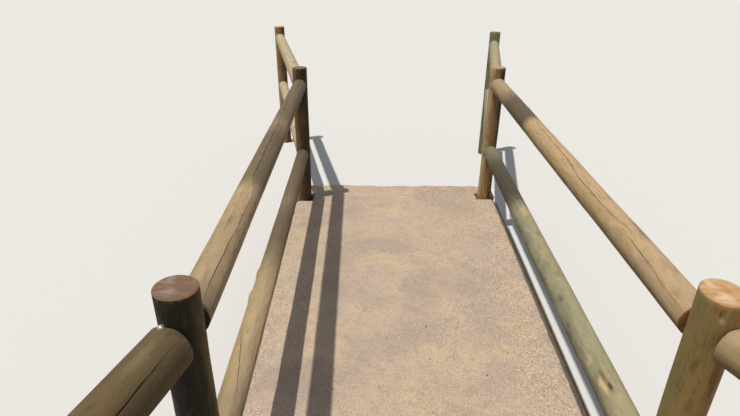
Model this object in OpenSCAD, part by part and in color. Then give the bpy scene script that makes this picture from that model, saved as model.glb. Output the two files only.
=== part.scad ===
// Small footbridge of round pine logs with a gravel footway.
// Two post-and-rail parapets follow the footway and flare outwards at both ends.
// Millimetres. X runs across the footway, +Y to the far end, Z up from the ground.

/* [Footway] */
// Distance between the fence lines at the near posts
near_width = 1250; // [1000:10:2000]
// Distance between the fence lines at the far posts
far_width = 1390; // [1000:10:2000]
// Distance from the near posts to the far posts
span_l = 2715; // [2000:5:4200]
// How far the far posts are set out of square, the right one outwards
far_skew = 28; // [0:1:40]
// Length of deck beyond the posts at each end
deck_end = 260; // [200:10:500]
// Reach of the deck past the fence lines
deck_side = 95; // [70:5:200]
// Thickness of the gravel layer
gravel_t = 35; // [20:1:80]
// Strip of bare plank left round the gravel
gravel_margin = 18; // [5:1:50]
// Thickness of a deck plank
plank_t = 45; // [30:1:75]
// Width of a deck plank
plank_w = 185; // [120:5:260]
// Gap between two planks
plank_gap = 7; // [3:1:15]

/* [Bearers] */
// Diameter of a bearer log
bearer_d = 160; // [120:5:260]
// Depth of the flat hewn along the top of a bearer
bearer_flat = 10; // [5:1:25]
// Height of a half-round bed log
bed_h = 100; // [70:5:160]
// Depth of the saddles that hold the bearers in a bed log
saddle = 30; // [10:1:50]
// Reach of a bed log past the inner side of the posts
bed_side = 150; // [60:10:400]
// Bed log centre, outwards from the posts
bed_offset = 160; // [160:5:220]

/* [Posts] */
// Height of a post above the walking surface
post_h = 1000; // [800:10:1300]
// How much lower the far span posts are cut
far_post_drop = 12; // [0:1:60]
// Diameter of the span posts
post_d = 100; // [80:1:130]
// Diameter of the near left post, which is a thicker log
near_left_post_d = 104; // [80:1:130]
// Diameter of the outer posts of the wings
wing_post_d = 106; // [80:1:130]
// Lean of the left span posts towards the footway, in degrees
left_lean = 0.4; // [0:0.1:2]
// Lean of the near right post towards the footway
near_right_lean = 0.3; // [0:0.1:2]
// Lean of the far right post away from the footway
far_right_lean = 0.4; // [0:0.1:2]
// Slope of the saw cut on top of the near right post, which rises to the far side
near_right_cut = 6; // [0:0.5:20]
// Slope of the saw cut on top of the near left post, which falls to the footway
near_left_cut = 3; // [0:0.5:20]

/* [Rail heights] */
// Height of the left top rails' centre line above the walking surface
left_top_h = 870; // [700:1:1000]
// Height of the right top rail at the near post
right_top_near_h = 878; // [700:1:1000]
// Height of the right top rails at the far post
right_top_far_h = 867; // [700:1:1000]
// Height of the near right wing's top rail
near_right_top_h = 886; // [700:1:1000]
// Height of the left lower rails
left_lower_h = 365; // [200:1:500]
// Height of the right lower rails at the near post
right_lower_near_h = 356; // [200:1:500]
// Height of the right lower rails at the far post
right_lower_far_h = 377; // [200:1:500]
// Rise of the far wings' rails to their outer posts
far_wing_rise = 11; // [0:1:80]

/* [Rail diameters] */
// Left top rail of the span at its near end
left_top_near_d = 100; // [70:1:130]
// Left top rail of the span at its far end
left_top_far_d = 92; // [70:1:130]
// Left lower rail of the span at its near end
left_lower_near_d = 94; // [70:1:130]
// Left lower rail of the span at its far end
left_lower_far_d = 87; // [70:1:130]
// Right top rail of the span at its near end
right_top_near_d = 94; // [70:1:130]
// Right top rail of the span at its far end
right_top_far_d = 104; // [70:1:130]
// Right lower rail of the span
right_lower_d = 99; // [70:1:130]
// Near left wing's top rail, which is the thickest
near_left_top_d = 118; // [70:1:135]
// Near right wing's top rail
near_right_top_d = 97; // [70:1:130]
// Far left wing's top rail
far_left_top_d = 101; // [70:1:130]
// The other rails of the wings
wing_rail_d = 94; // [70:1:130]
// Depth of the shallow scoop in a rail's end that seats it on the post
scoop = 2; // [1:0.5:20]

/* [Wings] */
// Length of the left wings between post centres
left_wing_l = 2315; // [1200:5:3000]
// Length of the right wings between post centres
right_wing_l = 1885; // [1200:5:3000]
// Flare of the far left wing, in degrees from the footway's line
far_left_flare = 12.6; // [0:0.1:45]
// Flare of the far right wing
far_right_flare = 11.3; // [0:0.1:45]
// Flare of the near left wing
near_left_flare = 13.3; // [0:0.1:45]
// Flare of the near right wing
near_right_flare = 19.3; // [0:0.1:45]

/* [Fastenings] */
// Diameter of a bolt between a span post and a bearer
bolt_d = 16; // [10:1:24]
// Diameter of a bolt's washer
washer_d = 44; // [30:1:60]

/* [Hidden] */

// Clearance where a round seat meets a round log
seat_gap = 0.3;
// Clearance round a span post in its notch through the deck
notch_room = 6;
// Extra length of a cutting tool past the face that it cuts
cut = 5;
$fn = 64;

// Levels, built up from the ground
bearer_z = bed_h - saddle + bearer_d / 2;
deck_z = bed_h - saddle + bearer_d - bearer_flat;
gravel_z = deck_z + plank_t;
footway_z = gravel_z + gravel_t;
post_z = footway_z + post_h;

// Half the distance between the fence lines at a place along the footway
function fence_x(y) = (near_width + (far_width - near_width) * y / span_l) / 2;

// Posts 1 to 4 run from the far end to the near end, on the left and on the right
function foot(side, i) =
    i == 2 ? [side * fence_x(span_l), span_l + side * far_skew] :
    i == 3 ? [side * fence_x(0), 0] :
    i == 1 ? foot(side, 2) + wing_l(side) * [side * sin(flare(side, 1)), cos(flare(side, 1))] :
    foot(side, 3) + wing_l(side) * [side * sin(flare(side, 4)), -cos(flare(side, 4))];
function wing_l(side) = side < 0 ? left_wing_l : right_wing_l;
function flare(side, i) =
    side < 0 ? (i == 1 ? far_left_flare : near_left_flare) :
    (i == 1 ? far_right_flare : near_right_flare);
function dia(side, i) =
    i == 1 || i == 4 ? wing_post_d :
    side < 0 && i == 3 ? near_left_post_d :
    post_d;
// Lean towards the footway, per millimetre of height
function lean(side, i) =
    i == 1 || i == 4 ? 0 :
    side < 0 ? tan(left_lean) :
    i == 3 ? tan(near_right_lean) :
    -tan(far_right_lean);
// A leaning post keeps its place at the height of the bearers, where it is bolted on
function on_post(side, i, z) =
    [foot(side, i)[0] - side * lean(side, i) * (z - bearer_z), foot(side, i)[1], z];

// Height of the rails of bay i where they meet post k: bay 1 is far, 2 the span, 3 near
function rail_z(side, i, k, top) =
    footway_z +
    (k == 1 ? far_wing_rise : 0) +
    (top && side < 0 ? left_top_h :
     top && i == 3 ? near_right_top_h :
     top ? (k == 3 ? right_top_near_h : right_top_far_h) :
     side < 0 ? left_lower_h :
     k > 2 ? right_lower_near_h :
     right_lower_far_h);
function rail_d(side, i, k, top) =
    i == 2 && top ? (
        side < 0 ? (k == 3 ? left_top_near_d : left_top_far_d) :
        (k == 3 ? right_top_near_d : right_top_far_d)
    ) :
    i == 2 ? (side < 0 ? (k == 3 ? left_lower_near_d : left_lower_far_d) : right_lower_d) :
    top && i == 3 ? (side < 0 ? near_left_top_d : near_right_top_d) :
    top && side < 0 ? far_left_top_d :
    wing_rail_d;

// Middle of the whole object in plan, which is the origin
reach_left = min(foot(-1, 1)[0], foot(-1, 4)[0]) - wing_post_d / 2;
reach_right = max(foot(1, 1)[0], foot(1, 4)[0]) + wing_post_d / 2;
reach_far = max(foot(-1, 1)[1], foot(1, 1)[1]) + wing_post_d / 2;
reach_near = min(foot(-1, 4)[1], foot(1, 4)[1]) - wing_post_d / 2;
middle = [(reach_left + reach_right) / 2, (reach_far + reach_near) / 2];

// Each outer bearer lies against the inner side of its two span posts
function bearer_x(k, i) =
    k * (abs(foot(k, i)[0]) - dia(k, i) / 2 - bearer_d / 2 - seat_gap);
function bearer_turn(k) =
    k == 0 ? 0 : atan((bearer_x(k, 2) - bearer_x(k, 3)) / (foot(k, 2)[1] - foot(k, 3)[1]));

// A round log from one point to another, with its diameter at each end
module log(a, b, d1, d2) {
    v = b - a;
    run = norm([v[0], v[1]]);
    translate(a)
        rotate([0, atan2(run, v[2]), atan2(v[1], v[0])])
            cylinder(h = norm(v), d1 = d1, d2 = d2);
}

// A post as a tool or a solid, running past both of its ends
module post_axis(side, i, d) {
    log(on_post(side, i, -cut * 4), on_post(side, i, post_z + cut * 20), d, d);
}

module post(side, i) {
    to_far = side > 0 && i == 3 ? near_right_cut : 0;
    to_footway = side < 0 && i == 3 ? near_left_cut : 0;
    top = post_z - (i == 2 ? far_post_drop : 0);
    reach = dia(side, i) * 3;
    difference() {
        post_axis(side, i, dia(side, i));
        translate([foot(side, i)[0], foot(side, i)[1], -reach / 2])
            cube(reach, center = true);
        translate(on_post(side, i, top))
            rotate([to_far, to_footway, 0])
                translate([0, 0, reach / 2])
                    cube(reach, center = true);
        if (i == 2 || i == 3)
            bolt_hole(side, i);
    }
}

// A rail between posts i and i + 1 of one side, with a scooped seat at each end
module rail(side, i, top) {
    a = on_post(side, i, rail_z(side, i, i, top));
    b = on_post(side, i + 1, rail_z(side, i, i + 1, top));
    along = (b - a) / norm(b - a);
    difference() {
        log(
            a + along * (dia(side, i) / 2 - scoop),
            b - along * (dia(side, i + 1) / 2 - scoop),
            rail_d(side, i, i, top),
            rail_d(side, i, i + 1, top)
        );
        post_axis(side, i, dia(side, i) + 2 * seat_gap);
        post_axis(side, i + 1, dia(side, i + 1) + 2 * seat_gap);
    }
}

// The round of a bearer: -1 left, 0 middle, 1 right
module bearer_round(k, d, past) {
    translate([k == 0 ? 0 : bearer_x(k, 3), 0, bearer_z])
        rotate([-90, 0, -bearer_turn(k)])
            translate([0, 0, -deck_end - past])
                cylinder(h = span_l + 2 * deck_end + 2 * past, d = d);
}

module bearer(k) {
    difference() {
        bearer_round(k, bearer_d, 0);
        translate([-far_width - near_width, -2 * deck_end, deck_z])
            cube([2 * (far_width + near_width), span_l + 4 * deck_end, bearer_d]);
        if (k != 0)
            for (i = [2, 3])
                bolt_hole(k, i);
    }
}

// A half-round log across one end, with a saddle for each bearer
module bed_log(y) {
    half = fence_x(y) - post_d / 2 + bed_side;
    difference() {
        translate([-half, y, 0])
            rotate([0, 90, 0])
                cylinder(h = 2 * half, r = bed_h);
        translate([-half - cut, y - 2 * bed_h, -2 * bed_h])
            cube([2 * half + 2 * cut, 4 * bed_h, 2 * bed_h]);
        for (k = [-1, 0, 1])
            bearer_round(k, bearer_d + 2 * seat_gap, cut);
    }
}

// Outline of the deck, drawn in by a margin
module deck_outline(inset) {
    reach = deck_side - inset;
    y0 = -deck_end + inset;
    y1 = span_l + deck_end - inset;
    polygon([
        [-fence_x(y0) - reach, y0],
        [fence_x(y0) + reach, y0],
        [fence_x(y1) + reach, y1],
        [-fence_x(y1) - reach, y1]
    ]);
}

// Notches that let the span posts through the sides of the deck
module post_notches(room) {
    for (side = [-1, 1], i = [2, 3]) {
        w = dia(side, i) + 2 * room;
        translate([foot(side, i)[0], foot(side, i)[1] - w / 2, deck_z - cut])
            scale([side, 1, 1])
                translate([-w / 2, 0, 0])
                    cube([w + 2 * deck_side, w, post_h]);
    }
}

plank_n = floor((span_l + 2 * deck_end + plank_gap) / (plank_w + plank_gap));
plank_pitch = (span_l + 2 * deck_end + plank_gap) / plank_n;
plank_real_w = plank_pitch - plank_gap;

module deck_planks() {
    color("burlywood")
        difference() {
            intersection() {
                translate([0, 0, deck_z])
                    linear_extrude(plank_t)
                        deck_outline(0);
                for (n = [0 : plank_n - 1])
                    translate([-far_width - near_width, -deck_end + n * plank_pitch, deck_z - cut])
                        cube([2 * (far_width + near_width), plank_real_w, plank_t + 2 * cut]);
            }
            post_notches(notch_room);
        }
}

module gravel_surface() {
    color("tan")
        difference() {
            translate([0, 0, gravel_z])
                linear_extrude(gravel_t)
                    deck_outline(gravel_margin);
            post_notches(notch_room + gravel_margin / 2);
        }
}

// Through bolt of a span post, with a head outside the post and a nut inside the bearer
bolt_room = 1;
nut_t = bolt_d * 0.7;
washer_t = 4;
thread_end = 12;
nut_flats = 1.8 * bolt_d;

module at_bolt(side, i) {
    translate([foot(side, i)[0], foot(side, i)[1], bearer_z])
        rotate([0, 0, -bearer_turn(side)])
            rotate([0, side * 90, 0])
                children();
}

module bolt_hole(side, i) {
    at_bolt(side, i)
        translate([0, 0, -dia(side, i) - bearer_d])
            cylinder(h = 2 * dia(side, i) + bearer_d, d = bolt_d + bolt_room);
}

module post_bolt(side, i) {
    outside = dia(side, i) / 2;
    inside = outside + seat_gap + bearer_d;
    at_bolt(side, i) {
        translate([0, 0, outside])
            cylinder(h = washer_t, d = washer_d);
        translate([0, 0, outside + washer_t])
            cylinder(h = nut_t, d = nut_flats, $fn = 6);
        translate([0, 0, -inside - washer_t - nut_t - thread_end])
            cylinder(h = inside + outside + 2 * washer_t + nut_t + thread_end, d = bolt_d);
        translate([0, 0, -inside - washer_t])
            cylinder(h = washer_t, d = washer_d);
        translate([0, 0, -inside - washer_t - nut_t])
            cylinder(h = nut_t, d = nut_flats, $fn = 6);
    }
}

module post_bolts() {
    color("silver")
        for (side = [-1, 1], i = [2, 3])
            post_bolt(side, i);
}

module centred() {
    translate([-middle[0], -middle[1], 0])
        children();
}

centred() color("peru") post(-1, 1);  // post_left_1
centred() color("peru") post(-1, 2);  // post_left_2
centred() color("peru") post(-1, 3);  // post_left_3
centred() color("peru") post(-1, 4);  // post_left_4
centred() color("peru") post(1, 1);  // post_right_1
centred() color("peru") post(1, 2);  // post_right_2
centred() color("peru") post(1, 3);  // post_right_3
centred() color("peru") post(1, 4);  // post_right_4
centred() color("tan") rail(-1, 1, true);  // top_rail_left_far
centred() color("tan") rail(-1, 2, true);  // top_rail_left_span
centred() color("tan") rail(-1, 3, true);  // top_rail_left_near
centred() color("tan") rail(1, 1, true);  // top_rail_right_far
centred() color("tan") rail(1, 2, true);  // top_rail_right_span
centred() color("tan") rail(1, 3, true);  // top_rail_right_near
centred() color("tan") rail(-1, 1, false);  // lower_rail_left_far
centred() color("tan") rail(-1, 2, false);  // lower_rail_left_span
centred() color("tan") rail(-1, 3, false);  // lower_rail_left_near
centred() color("tan") rail(1, 1, false);  // lower_rail_right_far
centred() color("tan") rail(1, 2, false);  // lower_rail_right_span
centred() color("tan") rail(1, 3, false);  // lower_rail_right_near
centred() color("sienna") bearer(-1);  // bearer_left
centred() color("sienna") bearer(0);  // bearer_middle
centred() color("sienna") bearer(1);  // bearer_right
centred() color("sienna") bed_log(span_l + far_skew + bed_offset);  // bed_log_far
centred() color("sienna") bed_log(-bed_offset);  // bed_log_near
centred() deck_planks();
centred() gravel_surface();
centred() post_bolts();
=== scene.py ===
"""Small footbridge of round pine logs with a gravel footway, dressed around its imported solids.

Metres, in the frame's axes: X across the footway, +Y to the far end, Z up from the floor. A log is described
by the distance from its first end and by the angle round it, in degrees from its upper side towards +X. On a
post the first end is its foot, and the angle starts at its far side. A rail starts at its span post, and a
rail of the span at the near one.
"""
import random
from collections import namedtuple
from math import atan2, cos, exp, hypot, pi, radians, sin, sqrt

import bmesh
import bpy
import numpy as np
from mathutils import Euler, Matrix, Vector, noise
from mathutils.bvhtree import BVHTree


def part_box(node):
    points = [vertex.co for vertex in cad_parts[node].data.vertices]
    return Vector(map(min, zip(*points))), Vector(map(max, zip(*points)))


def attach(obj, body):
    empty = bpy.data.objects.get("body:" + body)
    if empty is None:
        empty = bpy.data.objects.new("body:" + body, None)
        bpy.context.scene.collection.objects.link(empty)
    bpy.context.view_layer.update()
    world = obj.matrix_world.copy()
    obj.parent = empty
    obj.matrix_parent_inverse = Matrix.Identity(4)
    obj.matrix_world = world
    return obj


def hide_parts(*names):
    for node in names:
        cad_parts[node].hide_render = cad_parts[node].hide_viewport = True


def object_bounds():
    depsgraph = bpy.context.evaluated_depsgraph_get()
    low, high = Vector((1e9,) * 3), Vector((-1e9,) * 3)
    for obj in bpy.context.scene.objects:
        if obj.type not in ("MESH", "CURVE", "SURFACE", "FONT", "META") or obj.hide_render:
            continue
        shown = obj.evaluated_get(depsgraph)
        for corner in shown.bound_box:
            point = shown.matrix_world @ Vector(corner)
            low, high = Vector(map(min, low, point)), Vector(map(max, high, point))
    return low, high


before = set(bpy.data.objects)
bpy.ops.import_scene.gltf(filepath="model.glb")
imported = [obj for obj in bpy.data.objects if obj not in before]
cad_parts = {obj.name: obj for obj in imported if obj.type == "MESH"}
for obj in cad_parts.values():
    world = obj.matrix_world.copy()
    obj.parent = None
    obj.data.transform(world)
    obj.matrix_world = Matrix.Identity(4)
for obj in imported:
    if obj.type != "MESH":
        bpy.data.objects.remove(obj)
cad_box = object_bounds()

MM = 0.001
# A face counts as turned to a direction where the cosine between them is above this
FACING = 0.9

# Eye and lens
IMAGE_W = 740
FOCAL_PX = 520.3
SENSOR_W = 36.0
VIEW_DEPTH = 300.0
EYE = Vector((-0.1968, -2.3248, 1.9701))
YAW = radians(-0.3147)
PITCH = radians(25.6214)
ROLL = radians(0.3273)

# Light: a distant lamp high on the left, behind the eye, and an even sky
LAMP_FROM = Vector((-0.28, -0.14, 1.0))
LAMP_STRENGTH = 2.9
LAMP_ANGLE = radians(1)
SKY_STRENGTH = 0.29
FLOOR_SIZE = 160.0


# Scene

def new_object(name, data):
    """An object in the scene, at the origin."""
    placed = bpy.data.objects.new(name, data)
    bpy.context.scene.collection.objects.link(placed)
    return placed


# Camera

def make_camera():
    """The eye of the picture, at 740 pixels across."""
    camera = bpy.data.cameras.new("camera")
    camera.sensor_width = SENSOR_W
    camera.lens = SENSOR_W * FOCAL_PX / IMAGE_W
    camera.clip_end = VIEW_DEPTH
    eye = new_object("camera", camera)
    level = Vector((sin(YAW), cos(YAW), 0))
    right = Vector((cos(YAW), -sin(YAW), 0))
    ahead = level * cos(PITCH) - Vector((0, 0, sin(PITCH)))
    up = right.cross(ahead)
    rolled_right = right * cos(ROLL) + up * sin(ROLL)
    rolled_up = up * cos(ROLL) - right * sin(ROLL)
    turned = Matrix((rolled_right, rolled_up, -ahead)).transposed().to_4x4()
    eye.matrix_world = Matrix.Translation(EYE) @ turned
    bpy.context.scene.camera = eye


make_camera()


# Finishes

def linear(colour):
    """Linear RGBA of an sRGB hex colour."""
    parts = [int(colour[i:i + 2], 16) / 255 for i in (1, 3, 5)]
    return [c / 12.92 if c <= 0.04045 else ((c + 0.055) / 1.055) ** 2.4 for c in parts] + [1.0]


def add(nodes, kind, inputs, **settings):
    """Adds a shader node with its settings. An input is a value, a socket, or a node for its first output."""
    node = nodes.new("ShaderNode" + kind)
    for name, value in settings.items():
        setattr(node, name, value)
    for socket, value in inputs.items():
        value = value.outputs[0] if isinstance(value, bpy.types.Node) else value
        if isinstance(value, bpy.types.NodeSocket):
            nodes.id_data.links.new(value, node.inputs[socket])
        else:
            node.inputs[socket].default_value = value
    return node


def new_material(name):
    """An empty material, with its nodes."""
    material = bpy.data.materials.new(name)
    material.use_nodes = True
    material.node_tree.nodes.clear()
    return material, material.node_tree.nodes


def layered(nodes, colour, layers):
    """Lays colours over each other, each by its own mask and at a share of its strength."""
    for mask, share, over in layers:
        over = linear(over) if isinstance(over, str) else over
        if share < 1:
            mask = add(nodes, "Math", {0: mask, 1: share}, operation="MULTIPLY")
        colour = add(nodes, "Mix", {0: mask, 6: colour, 7: over}, data_type="RGBA").outputs[2]
    return colour


def finish_surface(nodes, colour, height, depth, roughness, **values):
    """Ends a material: its surface, with relief of a depth in metres."""
    relief = add(nodes, "Bump", {"Height": height, "Distance": depth, "Strength": 1.0})
    inputs = {"Base Color": colour, "Roughness": roughness, "Normal": relief, **values}
    surface = add(nodes, "BsdfPrincipled", inputs)
    add(nodes, "OutputMaterial", {"Surface": surface})


# Masks that a log carries on its surface, and the tones of what they show
MASKS = ("check", "bright", "knot", "grime_shade")
CHECK_SHADE = "#1d1710"
# The cracks of a sawn end are painted dark as shade in them
END_CRACK_SHADE = "#2a1d12"
KNOT_BROWN = "#4a3320"
# Tone of grime, which also paints shade over stretches of the rails
GRIME_SHADE_TONE = "#413a32"
FLECK = "#3b3022"


def streaks(nodes, place, width, length, low, high, detail=3.0):
    """Mask of streaks along the grain, of a width and a length in metres."""
    run = add(nodes, "Mapping", {"Vector": place, "Scale": (1, 1, width / length)})
    inputs = {"Vector": run, "Scale": 1 / width, "Detail": detail, "Roughness": 0.6}
    pattern = add(nodes, "TexNoise", inputs)
    return add(nodes, "MapRange", {"Value": pattern, "From Min": low, "From Max": high})


def weathered_pine(name, wood, bleached_and_lit, shade_side, grey, stain, scar=None, lines=0.32):
    """Round pine, peeled, pressure treated and left outdoors: dull, with raised grain, a sun-bleached side
    that is also painted lighter as if lit, and the side away from it painted in a shade tone.
    """
    material, nodes = new_material("weathered_pine_" + name)
    place = add(nodes, "Attribute", {}, attribute_name="grain").outputs["Vector"]
    around, check, bright, knot, grime_shade = (
        add(nodes, "Attribute", {}, attribute_name=own).outputs["Fac"] for own in ("around",) + MASKS)
    # Sides as broad as a hand, greyed patches, blotches of 14 mm, grain lines of 3 mm, flecks of 4 mm and
    # fine checks of 2.5 mm. The finest are drawn about twice as wide as real to show
    broad = streaks(nodes, place, 55 * MM, 260 * MM, 0.0, 1.0)
    patches = streaks(nodes, place, 40 * MM, 130 * MM, 0.46, 0.66)
    blotches = streaks(nodes, place, 14 * MM, 45 * MM, 0.0, 1.0)
    grain = streaks(nodes, place, 3 * MM, 90 * MM, 0.35, 0.65)
    flecks = streaks(nodes, place, 4 * MM, 22 * MM, 0.64, 0.74, 1.0)
    hairlines = streaks(nodes, place, 2.5 * MM, 190 * MM, 0.66, 0.72, 1.0)
    turned = add(nodes, "Math", {0: broad, 1: 1.4, 2: around}, operation="MULTIPLY_ADD")
    sunny, shaded, pale, dark = (
        add(nodes, "MapRange", {"Value": value, "From Min": low, "From Max": high})
        for value, low, high in (
            (turned, 1.0, 1.6), (turned, 0.5, -0.1), (blotches, 0.46, 0.3), (blotches, 0.54, 0.72)))
    # The sunny side is painted lit, the shaded side is painted in shade, and the grime tone also paints shade
    # over stretches
    colour = layered(nodes, linear(wood), [
        (sunny, 1, bleached_and_lit), (shaded, 1, shade_side), (patches, 0.55, grey), (pale, 0.5, bleached_and_lit),
        (dark, 0.5, stain), (grain, 0.2, stain), (bright, 1, scar or bleached_and_lit), (grime_shade, 1, GRIME_SHADE_TONE),
        (flecks, 0.28, FLECK), (hairlines, lines, FLECK), (knot, 1, KNOT_BROWN), (check, 1, CHECK_SHADE),
    ])
    worn = add(nodes, "Math", {0: blotches, 1: 3.0, 2: grain}, operation="MULTIPLY_ADD")
    worn = add(nodes, "Math", {0: worn, 1: hairlines}, operation="SUBTRACT")
    # Weathered fibres hold air, so the sheen is a little weaker than that of solid wood
    finish_surface(nodes, colour, worn, 0.4 * MM, 0.82, IOR=1.38)
    return material


def sawn_end(name, wood, pale, stain, rim_at=60 * MM):
    """End grain of a sawn log: growth rings, pale and stained blotches, cracks darkened with painted shade,
    and a stained rim.
    """
    material, nodes = new_material("sawn_end_" + name)
    place = add(nodes, "Attribute", {}, attribute_name="grain").outputs["Vector"]
    flat = add(nodes, "Mapping", {"Vector": place, "Scale": (1, 1, 0)})
    warp = add(nodes, "TexNoise", {"Vector": flat, "Scale": 1 / (30 * MM), "Detail": 2.0})
    pith = add(nodes, "VectorMath", {0: flat}, operation="LENGTH").outputs["Value"]
    # Rings of 4.5 mm, drawn about twice as wide as real, with the pith off centre by the warp
    bent = add(nodes, "Math", {0: warp, 1: 9 * MM, 2: pith}, operation="MULTIPLY_ADD")
    phase = add(nodes, "Math", {0: bent, 1: 2 * pi / (4.5 * MM)}, operation="MULTIPLY")
    ring = add(nodes, "Math", {0: phase}, operation="SINE")
    # Blotches of 30 mm, a little longer along the cut, and saw marks of 3 mm along it
    dragged = add(nodes, "Mapping", {"Vector": place, "Rotation": (0, 0, radians(35)), "Scale": (0.6, 1, 0)})
    inputs = {"Vector": dragged, "Scale": 1 / (30 * MM), "Detail": 2.0, "Distortion": 0.5}
    mottle = add(nodes, "TexNoise", inputs).outputs[1]
    tones = add(nodes, "SeparateColor", {0: mottle}).outputs
    sawn = add(nodes, "Mapping", {"Vector": dragged, "Scale": (0.08, 1, 1)})
    marks = add(nodes, "TexNoise", {"Vector": sawn, "Scale": 1 / (3 * MM), "Detail": 1.0})
    check = add(nodes, "Attribute", {}, attribute_name="check").outputs["Fac"]
    rings, patches, stains, fibres, rim = (
        add(nodes, "MapRange", {"Value": value, "From Min": low, "From Max": high, "To Max": most})
        for value, low, high, most in (
            (ring, 0.1, 1.0, 0.2), (tones[0], 0.46, 0.66, 1.0), (tones[1], 0.48, 0.66, 1.0),
            (marks, 0.5, 0.72, 0.5), (bent, 0.8 * rim_at, rim_at, 0.7)))
    colour = layered(nodes, linear(wood), [
        (patches, 1, pale), (stains, 0.8, stain), (rings, 1, stain), (fibres, 1, stain), (rim, 1, stain),
        (check, 1, END_CRACK_SHADE),
    ])
    finish_surface(nodes, colour, marks, 0.5 * MM, 0.85)
    return material


# Pine: wood, bleached side also painted as lit, side painted in shade, greyed patches and stains, then scars
# and the share of hairlines
PINE = {name: weathered_pine(name, *tones) for name, tones in {
    "olive_tan": ("#a7966f", "#baa384", "#4d4233", "#978a77", "#7a6543"),
    "pale_tan": ("#ad9873", "#c2ab8b", "#63553f", "#9f937f", "#87734f"),
    "warm_tan": ("#b9a27a", "#c6ad8b", "#70603f", "#a99a84", "#8f734a"),
    "grey_green": ("#8d9076", "#a8a283", "#5f5f46", "#aca88f", "#7a6b4b", "#d0b68e"),
    "dark_olive": ("#615339", "#6d5d3f", "#3c3324", "#5f5542", "#483a29", "#8f836c"),
    "cream": ("#b6a688", "#c6b89b", "#82745c", "#aba08b", "#95825f"),
    # The dark post's wood paints shade over its dark timber, and its pale side paints bounced light
    "post_dark_shaded": ("#221d13", "#6b5c3e", "#120f09", "#332b1c", "#1f1a11", None, 0.1),
    "post_brown": ("#503e27", "#7e6746", "#2e2315", "#51463a", "#3c2c1b"),
    # The olive posts' shade side is paler than their wood: painted bounced light on their right side, over
    # some orange weathering
    "post_olive": ("#a88853", "#93865a", "#c6945e", "#857c50", "#6b4f2f", "#c6b48f", 0.12),
    "post_tan": ("#9b7a51", "#ceb68f", "#32241a", "#83745a", "#664d30"),
    "bearer": ("#7f7050", "#978662", "#5b503b", "#6b6049", "#4f4331"),
    "bed_log": ("#6f6146", "#857453", "#4d432f", "#5c533f", "#433826"),
}.items()}
# Sawn ends: wood, pale blotches and stains, then the radius of the stained rim. A plank shows no rim
END = {name: sawn_end(name, *tones) for name, tones in {
    "pinkish": ("#6f5b4b", "#988779", "#7e604a"),
    "cream": ("#c5a076", "#dfc8a7", "#ac7d4d"),
    "pale": ("#ae9873", "#c7b692", "#907b59"),
    "dull": ("#6f6150", "#887863", "#56493a"),
    "rusty": ("#8f6440", "#a57b54", "#6e4424"),
    # Painted shade: a sawn end painted near black because it stands in deep shade
    "shaded_black": ("#2b231b", "#3a3026", "#1f1913"),
    "bearer": ("#7d6c51", "#938363", "#5d4d38", 85 * MM),
    "plank": ("#85745a", "#9a8a6d", "#63533d", 1.0),
}.items()}


# Pieces

def mesh_from(bm, name):
    """Ends a bmesh and keeps its shape as a mesh."""
    mesh = bpy.data.meshes.new(name)
    bm.to_mesh(mesh)
    bm.free()
    return mesh


def place_mesh(mesh, name, materials):
    """Gives a mesh its materials and an object in the scene."""
    for material in materials:
        mesh.materials.append(material)
    return new_object(name, mesh)


def as_piece(bm, name, materials, node):
    """Turns a bmesh into a piece that rides with the bridge and stands for a CAD node."""
    piece = place_mesh(mesh_from(bm, name), name, materials)
    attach(piece, "root")
    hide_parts(node)
    return piece


def plain_copy(node):
    """A bmesh of a CAD node with its loose triangles joined."""
    bm = bmesh.new()
    bm.from_mesh(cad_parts[node].data)
    bmesh.ops.remove_doubles(bm, verts=bm.verts, dist=0.02 * MM)
    bmesh.ops.dissolve_limit(bm, angle_limit=radians(0.5), verts=bm.verts, edges=bm.edges)
    return bm


def break_edges(bm, width):
    """Takes the sharp edges off a hewn or sawn piece."""
    corners = [e for e in bm.edges if e.is_manifold and e.calc_face_angle() > radians(30)]
    bmesh.ops.bevel(bm, geom=corners, affect="EDGES", offset=width, segments=2, profile=0.5, material=-1)


def cut_across(bm, low, high, normal, step):
    """Divides a mesh by planes a step apart, so that its faces are small enough to shape."""
    count = max(1, round((high - low) / step))
    for n in range(1, count):
        place = Vector(normal) * (low + (high - low) * n / count)
        parts = bm.verts[:] + bm.edges[:] + bm.faces[:]
        bmesh.ops.bisect_plane(bm, geom=parts, plane_co=place, plane_no=normal)


def shade(bm, crease=None):
    """Shades a mesh smooth, apart from edges past a crease angle, and splits its many-sided faces."""
    for face in bm.faces:
        face.smooth = True
    if crease:
        for edge in bm.edges:
            edge.smooth = not edge.is_manifold or edge.calc_face_angle() < crease
    bmesh.ops.triangulate(bm, faces=[f for f in bm.faces if len(f.verts) > 4])


# Log solids

# A tapered log: the middle of its first end, its direction, its length and its end radii
Log = namedtuple("Log", "start along length r_first r_last")
# It is measured on two sections, at these shares of its length from its last end
SECTIONS_AT = (0.7, 0.3)
# A sloping saw cut lies within this of a post's highest point
END_DEPTH = 30 * MM
# A rail's scoop clears its post by this
SEAT_GAP = 0.6 * MM


def across(along):
    """Two directions square to a log: its upper side, or a post's far side, and its side towards +X."""
    up = Vector((0, 0, 1)) if abs(along.z) < FACING else Vector((0, 1, 0))
    up = (up - along * up.dot(along)).normalized()
    side = Vector((1, 0, 0))
    return up, (side - along * side.dot(along) - up * side.dot(up)).normalized()


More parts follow.
